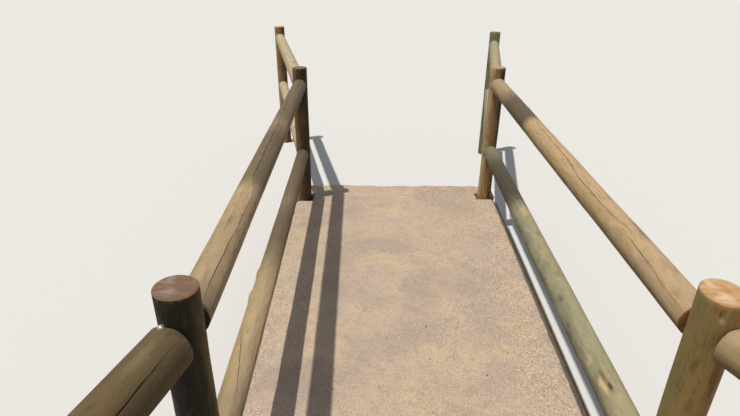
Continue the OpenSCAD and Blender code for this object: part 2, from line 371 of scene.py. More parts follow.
def section(mesh, place, along):
    """Centre and radius of a log where a plane across it cuts its surface."""
    bm = bmesh.new()
    bm.from_mesh(mesh)
    parts = bm.verts[:] + bm.edges[:] + bm.faces[:]
    cut = bmesh.ops.bisect_plane(bm, geom=parts, plane_co=place, plane_no=along)["geom_cut"]
    points = np.array([v.co for v in cut if isinstance(v, bmesh.types.BMVert)]) - np.array(place)
    bm.free()
    up, side = across(along)
    x, y = points @ np.array(side), points @ np.array(up)
    # The circle x * x + y * y = 2 * a * x + 2 * b * y + c that lies nearest to the cut's points
    a, b, c = np.linalg.lstsq(np.stack([2 * x, 2 * y, np.ones(len(x))], 1), x * x + y * y, rcond=None)[0]
    return place + side * a + up * b, sqrt(c + a * a + b * b)


def measured(node, towards):
    """Measures a log on its CAD solid, with its last end on the side that towards points to."""
    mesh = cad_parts[node].data
    points = np.array([v.co for v in mesh.vertices])
    middle = points.mean(axis=0)
    along = Vector(np.linalg.svd(points - middle)[2][0])
    along *= 1 if along.dot(towards) > 0 else -1
    reach = (points - middle) @ np.array(along)
    # Measured twice, because the first sections are cut across a rough direction
    for _ in range(2):
        places = [Vector(middle) + along * (reach.min() * k + reach.max() * (1 - k)) for k in SECTIONS_AT]
        (low, r_low), (high, r_high) = (section(mesh, place, along) for place in places)
        along = (high - low).normalized()
    run = (points - np.array(low)) @ np.array(along)
    first, last = run.min(), run.max()
    taper = (r_high - r_low) / (high - low).length
    return Log(low + along * first, along, last - first, r_low + taper * first, r_low + taper * last)


def end_plane(node, along):
    """A point and the normal of the sawn face at the end of a log that along points to."""
    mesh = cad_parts[node].data
    near_end = max(v.co.dot(along) for v in mesh.vertices) - END_DEPTH
    faces = [p for p in mesh.polygons if p.normal.dot(along) > FACING and p.center.dot(along) > near_end]
    area = sum(p.area for p in faces)
    place = sum((p.center * p.area for p in faces), Vector()) / area
    return place, sum((p.normal * p.area for p in faces), Vector()).normalized()


def flat_cut(along, place, normal):
    """The sawn face of an end, as the distance along the log from a place across its start."""
    return lambda foot: (place - foot).dot(normal) / along.dot(normal)


def seat_cut(along, square, post, leaving):
    """A rail's end: sawn square, and scooped where it would reach into the round of its post."""
    axis = post.along
    radius = (post.r_first + post.r_last) / 2 + SEAT_GAP

    def at(place):
        offset = place - post.start
        offset -= axis * offset.dot(axis)
        step = along - axis * along.dot(axis)
        half = offset.dot(step) / step.dot(step)
        inside = half * half - (offset.dot(offset) - radius * radius) / step.dot(step)
        if inside < 0:
            return square
        return max(square, -half + sqrt(inside)) if leaving else min(square, -half - sqrt(inside))

    return at


# Marks on the logs

# Checks: distance along the log in metres, angle, and width in millimetres. Those of the two posts are on the
# sides that the picture doesn't show
CHECKS = {
    "post_left_3": [[(0.5, 20, 0), (0.8, 24, 2.4), (1.25, 18, 1.5), (1.3, 17, 0)]],
    "post_right_3": [[(0.3, 40, 0), (0.7, 44, 2.6), (1.1, 38, 2.2), (1.3, 36, 1)]],
    "top_rail_left_span": [
        [(0.02, 38, 0.8), (0.13, 35, 3.0), (0.25, 38, 4.2), (0.35, 37, 2.2), (0.37, 41, 0.8), (0.41, 43, 3.0),
         (0.49, 41, 3.6), (0.59, 42, 2.6), (0.65, 43, 0.5), (0.72, 30, 0.3), (0.8, 12, 2.2), (1.0, 10, 3.4),
         (1.18, 8, 3.4), (1.45, 8, 3.0), (1.63, 4, 2.6), (1.76, 0, 2.2), (1.93, -6, 3.4), (2.15, -10, 1.8),
         (2.3, -12, 0)],
        [(0.28, 4, 0), (0.41, 3, 1.4), (0.53, 3, 1.2), (0.63, -1, 0), (0.8, -20, 0)],
        [(1.5, 70, 0), (1.9, 50, 0), (2.1, 22, 0), (2.24, 13, 2.0), (2.36, 18, 2.4), (2.51, 15, 3.0),
         (2.64, 14, 1.0)],
    ],
    "lower_rail_left_span": [
        [(0.16, 32, 0), (0.24, 24, 2.2), (0.34, 7, 3.0), (0.45, -12, 3.0), (0.55, -38, 2.0), (0.6, -48, 0)],
        [(1.3, 70, 0), (1.38, 62, 2.0), (1.57, 14, 2.2), (1.85, -18, 1.6), (1.95, -22, 0)],
    ],
    "top_rail_right_span": [
        [(0.35, -11, 0), (0.39, -15, 1.5), (0.49, -30, 2.6), (0.58, -34, 2.0), (0.68, -34, 2.8),
         (0.84, -34, 3.0), (0.9, -28, 1.0), (1.0, -16, 3.2), (1.27, -15, 2.8), (1.56, -7, 2.0),
         (1.62, -5, 0)],
        [(0.0, -57, 0.8), (0.03, -57, 1.6), (0.12, -54, 1.8), (0.17, -47, 1.6), (0.25, -43, 2.6),
         (0.34, -39, 2.4), (0.37, -37, 0), (0.45, -58, 0)],
    ],
    "lower_rail_right_span": [
        [(0.24, -17, 0), (0.27, -18, 1.6), (0.33, -22, 1.2), (0.37, -24, 0)],
        [(1.35, 5, 0), (1.5, 2, 1.8), (1.75, -6, 1.6), (1.9, -8, 0)],
    ],
    "top_rail_left_near": [
        [(0.03, 44, 0), (0.05, 42, 1.2), (0.1, 42, 2.4), (0.16, 46, 4.0), (0.28, 50, 5.0), (0.6, 52, 4),
         (1.3, 60, 0)],
    ],
}
# Knots and pits: distance, angle, size and rise in millimetres, and share of their dark tone
KNOTS = {
    "post_left_3": [(0.98, -20, 12, 2, 0.7), (0.62, 100, 12, 2, 0.5), (0.3, -140, 13, 2, 0.7)],
    "post_right_3": [
        (1.278, -153, 4.5, -4, 1.0), (1.2, -125, 16, 1, 0.3), (1.05, -112, 14, 1.2, 0.4),
        (0.5, 20, 13, 2, 0.7)],
    "top_rail_left_span": [(0.64, 73, 8, 1.5, 0.8), (1.3, 80, 9, 1.5, 0.9), (2.1, 40, 12, 1.5, 0.3)],
    "lower_rail_left_span": [(1.65, 100, 12, 3.0, 0.6), (0.79, -64, 20, 4.0, 0.2), (0.97, -62, 18, 3.5, 0.2)],
    "top_rail_right_span": [
        (0.96, -56, 15, 2.5, 0.15), (1.28, -55, 14, 2.0, 0.15), (0.47, -58, 16, 2.5, 0.15),
        (0.08, -45, 5, -0.5, 0.9), (1.9, 60, 13, 2.0, 0.5)],
    "lower_rail_right_span": [
        (0.77, -41, 12, 3.0, 0.8), (0.93, -5, 12, 2.5, 0.4), (1.3, 10, 14, 2.0, 0.5),
        (1.7, -30, 13, 2.0, 0.6)],
    "top_rail_left_near": [(0.45, 20, 14, 2.0, 0.6), (0.8, -60, 13, 2.0, 0.7)],
}
# Patches: distance, angle, half length, half width and rise in millimetres, mask, and share of the mask
PATCHES = {
    "post_right_3": [
        (1.262, -157, 7, 5, 0.8, "bright", 0.9), (1.17, -165, 22, 10, 0.3, "bright", 0.3),
        # The three patches of grime and shade just below the top rail paint the shadow that the rails cast on
        # the post
        (1.08, 170, 60, 12, -0.4, "grime_shade", 0.35), (1.12, -130, 18, 9, 0.2, "grime_shade", 0.3),
        (1.0, -150, 30, 8, 0.2, "grime_shade", 0.3)],
    "top_rail_left_span": [
        (0.67, 42, 45, 20, 1.0, "bright", 0.8), (0.62, 10, 30, 15, 0.8, "bright", 0.6),
        # The broad patch at 1.57 m is painted dappled light
        (0.69, -18, 40, 22, 0.8, "bright", 0.6), (1.57, 15, 90, 34, 1.0, "bright", 0.5),
        (0.26, 26, 110, 28, 0.0, "bright", 0.45)],
    "lower_rail_left_span": [
        (0.97, -62, 34, 18, 2.0, "bright", 0.5), (0.79, -64, 36, 20, 2.0, "bright", 0.6),
        (0.5, 60, 40, 12, 0.5, "bright", 0.5), (0.62, -5, 50, 16, 0.6, "bright", 0.6),
        (1.7, 10, 60, 20, 0.6, "bright", 0.4)],
    "top_rail_right_span": [
        (0.96, -56, 26, 13, 1.0, "bright", 0.9), (1.28, -55, 24, 12, 1.0, "bright", 0.8),
        (0.47, -58, 26, 13, 1.0, "bright", 0.8), (0.28, -62, 26, 13, 1.0, "bright", 0.7),
        (0.4, 24, 70, 12, 0.0, "grime_shade", 0.35), (0.72, 34, 60, 10, 0.0, "grime_shade", 0.2),
        # The broad bright patch at 0.12 m is painted light on the rail's left flank
        (0.12, -58, 80, 28, 0.0, "bright", 0.5), (0.1, -47, 22, 3.5, -0.3, "knot", 0.5),
        (0.06, -38, 18, 3, -0.2, "knot", 0.35), (0.13, -55, 20, 3, -0.2, "knot", 0.35)],
    "lower_rail_right_span": [
        (0.2, -20, 170, 40, 0.0, "bright", 0.2), (0.322, -29, 36, 7, -1.5, "knot", 0.6),
        (0.275, -22, 24, 6, -0.6, "grime_shade", 0.7), (0.285, -44, 38, 10, 0.6, "bright", 1.0),
        (0.33, -49, 14, 6, 0.0, "knot", 0.25), (0.395, -58, 18, 8, 0.3, "bright", 0.5),
        (0.415, -41, 22, 5, 0.2, "bright", 0.5), (0.26, -15, 26, 9, -0.3, "grime_shade", 0.35),
        (0.62, -60, 45, 9, 0.0, "grime_shade", 0.3), (0.57, 25, 50, 10, 0.2, "bright", 0.45),
        (1.1, -20, 60, 12, 0.0, "bright", 0.3), (1.57, 0, 60, 18, 0.3, "bright", 0.6)],
    "top_rail_left_near": [
        (0.008, 52, 7, 5, 0.4, "bright", 0.6), (0.01, 66, 6, 4, -0.6, "bright", 0.7),
        (0.01, 84, 8, 4, 0.4, "bright", 0.5), (0.1, 5, 50, 12, 0.2, "bright", 0.4),
        # These two broad patches darken the rail's left flank with painted shade
        (0.06, -30, 24, 10, 0.0, "grime_shade", 0.3), (0.16, -42, 110, 22, 0.0, "grime_shade", 0.45)],
    "top_rail_right_far": [(0.4, -5, 450, 60, 0.0, "bright", 0.28), (1.3, -5, 500, 60, 0.0, "bright", 0.12)],
}
# Stretches that are grimy and greyed. The far stretches of the span rails and the first ends of the left span
# rails also carry painted shade: distance along the log, and share
GRIME_SHADE_STRETCHES = {
    "top_rail_right_near": [(0, 0.2), (0.3, 0.12), (1.5, 0.1)],
    "top_rail_left_span": [
        (0.02, 0.35), (0.12, 0), (0.7, 0), (0.82, 0.62), (1.35, 0.7), (1.55, 0.4), (1.72, 0.66), (2.6, 0.72)],
    "lower_rail_left_span": [
        (0.2, 0.2), (0.35, 0), (0.85, 0), (1.12, 0.55), (1.27, 0.76), (1.5, 0.76), (1.7, 0.6), (1.9, 0.74),
        (2.6, 0.86)],
    "top_rail_right_span": [(1.6, 0), (1.69, 0.86), (2.08, 0.84), (2.2, 0.55), (2.34, 0.2), (2.7, 0.18)],
    "lower_rail_right_span": [(1.62, 0), (1.74, 0.8), (1.85, 0.93), (2.3, 0.88), (2.52, 0.4)],
}
NO_GRIME_SHADE = [(0, 0)]
# Wear of the rims at a log's first and last end, in millimetres
RIM_WEAR = {"top_rail_left_near": (4.5, 3.0)}
USUAL_RIMS = (3.0, 3.0)


def random_checks(seed, length):
    """Two drying checks of a log that the picture doesn't show closely."""
    rng = random.Random(seed)
    checks = []
    for _ in range(2):
        run = length * rng.uniform(0.35, 0.8)
        first = rng.uniform(0.02, length - run)
        turn = rng.uniform(-180, 180)
        drift = rng.uniform(-14, 14)
        width = rng.uniform(1.6, 3.4)
        checks.append([
            (first, turn, 0),
            (first + run * 0.3, turn + drift * 0.4, width),
            (first + run * 0.7, turn + drift * 0.6, width * 0.8),
            (first + run, turn + drift, 0),
        ])
    return checks


def random_knots(seed, length):
    """Whorls of knots every 35 to 50 cm, as a pine has them."""
    rng = random.Random(seed * 31)
    knots = []
    place = rng.uniform(0.1, 0.4)
    while place < length:
        first = rng.uniform(0, 360)
        for n in range(rng.randint(2, 4)):
            turn = first + n * 360 / 4 + rng.uniform(-20, 20)
            knots.append((place + rng.uniform(-0.03, 0.03), turn, rng.uniform(9, 15), rng.uniform(0.8, 2.6),
                          rng.choice((0.7, 0.35))))
        place += rng.uniform(0.35, 0.5)
    return knots


def random_patches(seed, length):
    """Scars and bruises of a log that the picture doesn't show closely, five to a metre."""
    rng = random.Random(seed * 17)
    patches = []
    for _ in range(round(length * 5)):
        patches.append((rng.uniform(0.05, length - 0.05), rng.uniform(-180, 180), rng.uniform(18, 60),
                        rng.uniform(6, 18), rng.uniform(-0.6, 0.8), rng.choice(("bright", "grime_shade")),
                        rng.uniform(0.25, 0.6)))
    return patches


# A check wanders by some degrees and varies in width by a share, each so many times to a metre. It is some
# times as deep as wide, down to a limit, and wholly dark from a width on. Its edges stay apart where it ends
CHECK_WANDER = ((2.2, 22), (1.2, 70))
CHECK_WIDTHS = (0.6, 35)
CHECK_DEPTH = 3.2
CHECK_DEEPEST = 13 * MM
CHECK_DARK = 1.2 * MM
CHECK_CLOSED = 0.3 * MM
# A knot is longer than wide. Its dark ring and heart each have a share, and a place and width in its size
KNOT_STRETCH = 1.6
KNOT_RINGS = ((0.8, 0.7, 0.22), (0.6, 0.0, 1 / 3))
# A patch's rim is ragged by a share of its size, at a spacing along the log and an angle round it
PATCH_RAGGED = 0.4
PATCH_STEP = 20 * MM
PATCH_TURN = 12


def drying_check(points, jitter):
    """Angle and width of a check as functions of the distance along its log."""
    run, turn, width = (np.array(values, float) for values in zip(*sorted(points)))

    def waver(t, size, count, layer):
        return size * noise.noise(Vector((t * count, jitter, layer)))

    def at(t):
        wander = waver(t, *CHECK_WANDER[0], 0) + waver(t, *CHECK_WANDER[1], 5)
        ragged = 0.75 + waver(t, *CHECK_WIDTHS, 9)
        open_width = float(np.interp(t, run, width, 0, 0)) * ragged * MM
        return float(np.interp(t, run, turn)) + wander, max(open_width, 0.0)

    return at


def arc_between(turn, angle, radius):
    """Distance round a log from an angle to a turn, the shorter way."""
    return radians((turn - angle + 180) % 360 - 180) * radius


def knot_field(t, turn, radius, knots):
    """Height and dark mask of the knots at a place on a log: a dark ring and heart, on a low swelling."""
    height, dark = 0.0, 0.0
    for place, angle, size, rise, share in knots:
        if abs(t - place) > 4 * size * MM:
            continue
        d = hypot((t - place) / KNOT_STRETCH, arc_between(turn, angle, radius)) / (size * MM)
        height += rise * MM * exp(-d * d)
        dark += share * sum(tone * exp(-((d - out) / wide) ** 2) for tone, out, wide in KNOT_RINGS)
    return height, min(dark, 1.0)


def patch_field(t, turn, radius, patches):
    """Height and mask shares of the patches at a place on a log: scars, chips, bruises and patches of painted
    light and shade, ragged round.
    """
    height, shares = 0.0, dict.fromkeys(MASKS, 0.0)
    for place, angle, half_length, half_width, rise, mask, share in patches:
        d = hypot((t - place) / (half_length * MM), arc_between(turn, angle, radius) / (half_width * MM))
        if d < 2:
            ragged = d + PATCH_RAGGED * noise.noise(Vector((t / PATCH_STEP, turn / PATCH_TURN, place)))
            core = exp(-max(ragged, 0.0) ** 4)
            height += rise * MM * core
            shares[mask] = min(1.0, shares[mask] + share * core)
    return height, shares


# Logs

# Mesh of a log: columns round it, rings along it, and steps across its ends as shares of the radius
SIDES = 64
RING_STEP = 14 * MM
CAP_STEPS = (0.03, 0.05, 0.1, 0.16, 0.2, 0.2)
# Lumps of a peeled log: height in millimetres, width and length
LUMPS = ((1.5, 60 * MM, 300 * MM), (0.45, 18 * MM, 120 * MM))
# On a sawn end: roughness in millimetres, its spacing, and depth of a check's groove in millimetres
SAW_ROUGH = 0.5
SAW_STEP = 12 * MM
END_GROOVE = 5
# Shares of its radius: where the worn rim starts, where the roughness stops, and where a groove deepens
WORN_FROM = 0.9
ROUGH_TO = 0.95
GROOVE_RUN = (0.15, 0.65)
# First random seeds of the posts and the rails
POST_SEED = 3
RAIL_SEED = 20


def free_columns(checks):
    """A column for each check, near its middle angle, with at least three between any two."""
    chosen = []
    for points in checks:
        wanted = round(float(np.mean([p[1] for p in points])) / 360 * SIDES)
        shift = 0
        while any(abs((wanted + shift - c + SIDES // 2) % SIDES - SIDES // 2) < 4 for c in chosen):
            shift = -shift if shift > 0 else 1 - shift
        chosen.append((wanted + shift) % SIDES)
    return chosen


def ring_layout(t, radius, checks, columns):
    """Angle, sink and check mask of each column of a ring: three columns follow each check."""
    step = 360 / SIDES
    anchors, sink, mask = {}, [0.0] * SIDES, [0.0] * SIDES
    for at, column in zip(checks, columns):
        turn, width = at(t)
        turn += 360 * round((column * step - turn) / 360)
        half = max(width, CHECK_CLOSED) / 2 / radius * 180 / pi
        for offset in (-1, 0, 1):
            anchors[column + offset] = turn + offset * half
        sink[column % SIDES] = min(CHECK_DEPTH * width, CHECK_DEEPEST)
        mask[column % SIDES] = min(1.0, width / CHECK_DARK)
    if not anchors:
        return [k * step for k in range(SIDES)], sink, mask
    keys = sorted(anchors)
    places = [k + lap * SIDES for lap in (-1, 0, 1) for k in keys]
    turns = [anchors[k] + lap * 360 for lap in (-1, 0, 1) for k in keys]
    return list(np.interp(range(SIDES), places, turns)), sink, mask


def radius_at(log, share):
    """Radius of a tapered log at a share of its length."""
    return log.r_first + (log.r_last - log.r_first) * share


def log_layout(log, checks, seed, rings):
    """Layouts of all rings of a log, and the columns that run along its checks."""
    columns = free_columns(checks)
    lines = [drying_check(points, seed * 7 + n * 3.1) for n, points in enumerate(checks)]
    layouts = []
    for share in (ring / rings for ring in range(rings + 1)):
        layouts.append(ring_layout(share * log.length, radius_at(log, share), lines, columns))
    return layouts, {(c + offset) % SIDES for c in columns for offset in (-1, 0, 1)}


def unit_log(rings):
    """A log of radius 1 and length 1, with rings along it and across its ends, whose faces are end grain."""
    bm = bmesh.new()
    bmesh.ops.create_cone(bm, cap_ends=True, cap_tris=False, segments=SIDES, radius1=1, radius2=1, depth=1)
    caps = [f for f in bm.faces if len(f.verts) == SIDES]
    for cap_step in CAP_STEPS:
        bmesh.ops.inset_individual(bm, faces=caps, thickness=cap_step, use_even_offset=True)
    bmesh.ops.poke(bm, faces=caps)
    for face in bm.faces:
        face.material_index = int(abs(face.normal.z) > FACING)
        face.smooth = True
    upright = [e for e in bm.edges if abs(e.verts[0].co.z - e.verts[1].co.z) > 0.5]
    bmesh.ops.subdivide_edges(bm, edges=upright, cuts=rings - 1, use_grid_fill=True)
    return bm


def lump_at(place, shift):
    """Height of a log's lumps at a place on it, in millimetres."""
    height = 0.0
    for high, width, length in LUMPS:
        stretched = Vector((place.x / width, place.y / width, place.z / length))
        height += high * noise.noise(stretched + shift)
    return height


def end_wear(x, y, rho, layer, rim, check):
    """How far a sawn end is worn back at a share of its radius: round its rim, by the saw, and in a check."""
    worn = rim * max(0.0, (rho - WORN_FROM) / (1 - WORN_FROM)) ** 2
    rough = SAW_ROUGH * abs(noise.noise(Vector((x / SAW_STEP, y / SAW_STEP, 0)) + layer)) * (rho < ROUGH_TO)
    groove = END_GROOVE * check * float(np.interp(rho, GROOVE_RUN, (0, 1)))
    return (worn + rough + groove) * MM


def dress_log(node, log, cuts, look, seed):
    """A detailed log in the place of a CAD log, between the two cuts at its ends."""
    wood, end, sunny = look
    checks = CHECKS.get(node) or random_checks(seed, log.length)
    knots = KNOTS.get(node) or random_knots(seed, log.length)
    patches = PATCHES.get(node) or random_patches(seed, log.length)
    # Stretches of grime that also carry painted shade
    grime_shade_at, grime_shade_share = zip(*GRIME_SHADE_STRETCHES.get(node, NO_GRIME_SHADE))
    rims = RIM_WEAR.get(node, USUAL_RIMS)
    up, side = across(log.along)
    rings = max(8, round(log.length / RING_STEP))
    bm = unit_log(rings)
    grain = bm.verts.layers.float_vector.new("grain")
    check_mask, bright_mask, knot_mask, grime_shade_mask = (bm.verts.layers.float.new(name) for name in MASKS)
    around = bm.verts.layers.float.new("around")
    # The noise is shifted by the seed, so that no two logs are alike
    shift = Vector((seed * 3.7, seed * 1.3, seed * 11.1))
    layouts, check_columns = log_layout(log, checks, seed, rings)
    column_of = {}
    for vert in bm.verts:
        share = min(max(vert.co.z + 0.5, 0.0), 1.0)
        rho = min(hypot(vert.co.x, vert.co.y), 1.0)
        ring = round(share * rings)
        column = round(atan2(vert.co.x, vert.co.y) / (2 * pi) * SIDES) % SIDES
        column_of[vert] = column
        turns, sink, mask = layouts[ring]
        angle, t = radians(turns[column]), share * log.length
        radius = radius_at(log, share)
        lump = lump_at(Vector((radius * sin(angle), radius * cos(angle), t)), shift)
        height, dark = knot_field(t, turns[column], radius, knots)
        rise, shares = patch_field(t, turns[column], radius, patches)
        surface = rho * (radius + lump * MM + height + rise - sink[column])
        x, y = surface * sin(angle), surface * cos(angle)
        foot = log.start + side * x + up * y
        low, high = cuts[0](foot), cuts[1](foot)
        run = low + (high - low) * share
        layer = Vector((0, 0, ring)) + shift
        if ring == 0:
            run += end_wear(x, y, rho, layer, rims[0], mask[column])
        elif ring == rings:
            run -= end_wear(x, y, rho, layer, rims[1], mask[column])
        vert.co = foot + log.along * run
        vert[grain] = Vector((x, y, t + seed * 5.3))
        vert[check_mask] = mask[column] if rho > 0.2 else 0.0
        vert[knot_mask] = max(dark, shares["knot"])
        vert[bright_mask] = shares["bright"]
        # The side that is painted lit, and the grime of patches and stretches that also paints shade
        vert[around] = cos(angle - radians(sunny))
        vert[grime_shade_mask] = max(shares["grime_shade"], float(np.interp(t, grime_shade_at, grime_shade_share)))
    for edge in bm.edges:
        a, b = (column_of[v] for v in edge.verts)
        edge.smooth = a != b or a not in check_columns
    bm.normal_update()
    bmesh.ops.recalc_face_normals(bm, faces=bm.faces)
    as_piece(bm, node + "_log", (PINE[wood], END[end]), node)


# Posts, from the far end to the near end: wood, sawn top, and the angle of the bleached side that is also
# painted as lit
POST_LOOKS = {
    "post_left_1": ("post_tan", "pale", -95),
    "post_left_2": ("post_brown", "dull", -100),
    # The near left post is painted in shade, with painted bounced light on its right side
    "post_left_3": ("post_dark_shaded", "pinkish", 62),
    "post_left_4": ("post_brown", "dull", -90),
    "post_right_1": ("grey_green", "dull", 110),
    "post_right_2": ("post_tan", "pale", -85),
    "post_right_3": ("post_olive", "cream", -62),
    "post_right_4": ("post_olive", "dull", -62),
}
posts = {node: measured(node, Vector((0, 0, 1))) for node in POST_LOOKS}
for seed, (node, look) in enumerate(POST_LOOKS.items(), POST_SEED):
    along = posts[node].along
    cuts = (flat_cut(along, Vector((0, 0, cad_box[0][2])), Vector((0, 0, -1))),
            flat_cut(along, *end_plane(node, along)))
    dress_log(node, posts[node], cuts, look, seed)

# Rails: wood, sawn ends, and the angle of the bleached side that is also painted as lit
RAIL_LOOKS = {
    "top_rail_left_far": ("cream", "dull", 10),
    # This rail's sawn ends are painted black as shade
    "top_rail_left_span": ("olive_tan", "shaded_black", 34),
    "top_rail_left_near": ("dark_olive", "dull", 5),
    "top_rail_right_far": ("grey_green", "dull", 25),
    "top_rail_right_span": ("warm_tan", "rusty", 22),
    "top_rail_right_near": ("warm_tan", "dull", 10),
    "lower_rail_left_far": ("cream", "dull", 10),
    "lower_rail_left_span": ("pale_tan", "dull", 34),
    "lower_rail_left_near": ("dark_olive", "dull", 5),
    "lower_rail_right_far": ("grey_green", "dull", 20),
    "lower_rail_right_span": ("grey_green", "dull", 38),
    "lower_rail_right_near": ("warm_tan", "dull", 10),
}
# The posts at a rail's first and last end, and its way along Y, by its bay
BAYS = {"far": (2, 1, 1), "span": (3, 2, 1), "near": (3, 4, -1)}
for seed, (node, look) in enumerate(RAIL_LOOKS.items(), RAIL_SEED):
    hand, bay = node.split("_")[2:]
    first, last, way = BAYS[bay]
    log = measured(node, Vector((0, way, 0)))
    cuts = (seat_cut(log.along, 0.0, posts["post_%s_%d" % (hand, first)], True),
            seat_cut(log.along, log.length, posts["post_%s_%d" % (hand, last)], False))
    dress_log(node, log, cuts, look, seed)


# Bolts and spike

def galvanised_steel():
    """Hot-dip galvanised steel, dulled outdoors: grey, a faint spangle of 5 mm and paler bloom of 9 mm."""
    material, nodes = new_material("galvanised_steel")
    place = add(nodes, "TexCoord", {}).outputs["Object"]
    spangle = add(nodes, "TexVoronoi", {"Vector": place, "Scale": 1 / (5 * MM)})
    tone = add(nodes, "SeparateColor", {0: spangle.outputs["Color"]})
    bloom = add(nodes, "TexNoise", {"Vector": place, "Scale": 1 / (9 * MM), "Detail": 3.0})
    bloomed = {"Value": bloom, "From Max": 0.65, "To Max": 0.7}
    pale = add(nodes, "MapRange", {"From Min": 0.5, **bloomed})
    dull = add(nodes, "MapRange", {"From Min": 0.4, "To Min": 0.42, **bloomed})
    colour = layered(nodes, linear("#9b9d9e"), [(tone, 0.5, "#b4b6b6"), (pale, 1, "#c3c2be")])
    finish_surface(nodes, colour, bloom, 0.15 * MM, dull, Metallic=0.8)
    return material


GALVANISED = galvanised_steel()
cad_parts["post_bolts"].material_slots[0].material = GALVANISED

# Head of the spike: its size, then its place along the rail and round it, and its lean along the rail
SPIKE_RADIUS = 9 * MM
SPIKE_RIM = 3 * MM
SPIKE_RISE = 5 * MM
SPIKE_ALONG = 9 * MM
SPIKE_TURN = radians(-10)
SPIKE_LEAN = 0.35


def drive_spike():
    """The domed head of the spike that holds the near left wing's top rail to its post."""
    rail = measured("top_rail_left_near", Vector((0, -1, 0)))
    up, side = across(rail.along)
    outward = up * cos(SPIKE_TURN) + side * sin(SPIKE_TURN)
    leaning = (outward + rail.along * SPIKE_LEAN).normalized()
    bm = bmesh.new()
    bmesh.ops.create_cone(bm, cap_ends=True, segments=32, radius1=SPIKE_RADIUS, radius2=SPIKE_RADIUS * 0.94,
                          depth=SPIKE_RIM)
    top = [f for f in bm.faces if f.normal.z > FACING]
    for _ in range(4):
        bmesh.ops.inset_individual(bm, faces=top, thickness=SPIKE_RADIUS * 0.2)
        for vert in top[0].verts:
            share = hypot(vert.co.x, vert.co.y) / SPIKE_RADIUS
            vert.co.z = SPIKE_RIM / 2 + SPIKE_RISE * (1 - share ** 2)
    bmesh.ops.poke(bm, faces=top)
    lean = leaning.to_track_quat("Z", "Y").to_matrix().to_4x4()
    seat = rail.start + rail.along * SPIKE_ALONG + outward * rail.r_first
    bmesh.ops.transform(bm, matrix=Matrix.Translation(seat) @ lean, verts=bm.verts)
    for face in bm.faces:
        face.smooth = True
    bm.normal_update()
    bmesh.ops.recalc_face_normals(bm, faces=bm.faces)
    piece = place_mesh(mesh_from(bm, "spike_head"), "spike_head", [GALVANISED])
    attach(piece, "root")


drive_spike()


# Bearers, bed logs and planks

# Corners past this angle are drawn sharp
CREASE = radians(35)
HEWN_STEP = 40 * MM
HEWN_EDGE = 2 * MM
# Lumps of a hewn log: height, width and length
HEWN_LUMPS = (1.2 * MM, 50 * MM, 300 * MM)
# The lowest and the end faces, which stay flat, are found within this
FLAT_DEPTH = 1 * MM
BEARER_SEED = 40
BED_SEED = 50


def dress_hewn_log(node, axis, wood, seed):
    """A bearer or bed log: its CAD shape with broken edges, lumps and grain along it."""
    bm = plain_copy(node)
    break_edges(bm, HEWN_EDGE)
    low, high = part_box(node)
    cut_across(bm, low[axis], high[axis], Vector((int(axis == 0), int(axis == 1), 0)), HEWN_STEP)
    grain = bm.verts.layers.float_vector.new("grain")
    around = bm.verts.layers.float.new("around")
    for name in MASKS:
        bm.verts.layers.float.new(name)
    middle = (low + high) / 2
    shift = Vector((seed, seed * 2, seed * 3))
    lump, width, length = HEWN_LUMPS
    bm.normal_update()
    for vert in bm.verts:
        x, y = vert.co[1 - axis] - middle[1 - axis], vert.co.z - middle.z
        vert[grain] = Vector((x, y, vert.co[axis] + seed * 2.3))
        # The top is painted as the lit side and the underside as the shaded side
        vert[around] = y / hypot(x, y)
        if vert.co.z > low.z + FLAT_DEPTH:
            stretched = Vector((x / width, y / width, vert.co[axis] / length)) + shift
            vert.co += vert.normal * lump * noise.noise(stretched)
    for face in bm.faces:
        depth = min(abs(face.calc_center_median()[axis] - end[axis]) for end in (low, high))
        face.material_index = int(depth < FLAT_DEPTH and abs(face.normal[axis]) > FACING)
    shade(bm, CREASE)
    as_piece(bm, node + "_log", (PINE[wood], END["bearer"]), node)


for seed, node in enumerate(("bearer_left", "bearer_middle", "bearer_right"), BEARER_SEED):
    dress_hewn_log(node, 1, "bearer", seed)
for seed, node in enumerate(("bed_log_far", "bed_log_near"), BED_SEED):
    dress_hewn_log(node, 0, "bed_log", seed)


def rough_plank():
    """Rough-sawn pine plank, greyed in patches: dull, with raised grain and a tone of its own."""
    material, nodes = new_material("rough_sawn_pine_plank")
    place = add(nodes, "TexCoord", {}).outputs["Object"]
    tone = add(nodes, "Attribute", {}, attribute_name="tone").outputs["Fac"]
    # Grain lines of 3 mm run across the bridge, over greyed patches of 40 mm
    along = add(nodes, "Mapping", {"Vector": place, "Scale": (0.03, 1, 1)})
    lines = add(nodes, "TexNoise", {"Vector": along, "Scale": 1 / (3 * MM), "Detail": 3.0})
    grain = add(nodes, "MapRange", {"Value": lines, "From Min": 0.35, "From Max": 0.65})
    greying = add(nodes, "TexNoise", {"Vector": place, "Scale": 1 / (40 * MM), "Detail": 3.0})
    patches = add(nodes, "MapRange", {"Value": greying, "From Min": 0.45, "From Max": 0.65})
    colour = layered(nodes, linear("#8d7b5f"), [
        (tone, 0.7, "#a8977a"), (grain, 0.5, "#6b5c46"), (patches, 0.5, "#b09c82"),
    ])
    finish_surface(nodes, colour, lines, 0.9 * MM, 0.85)
    return material


PLANK_COUNT = 16
PLANK_SEED = 71
PLANK_EDGE = 2.5 * MM
PLANK_STEP = 60 * MM
PITH_BELOW = 25 * MM
# A plank's sawn end faces along X more squarely than this, and the broken edges beside it less
PLANK_END_FACING = 0.98
# Unevenness of the planks' tops and of their sides, and how many waves of it to a metre
PLANK_TOP = (0.8 * MM, 14)
PLANK_SIDE = (0.9 * MM, 20)


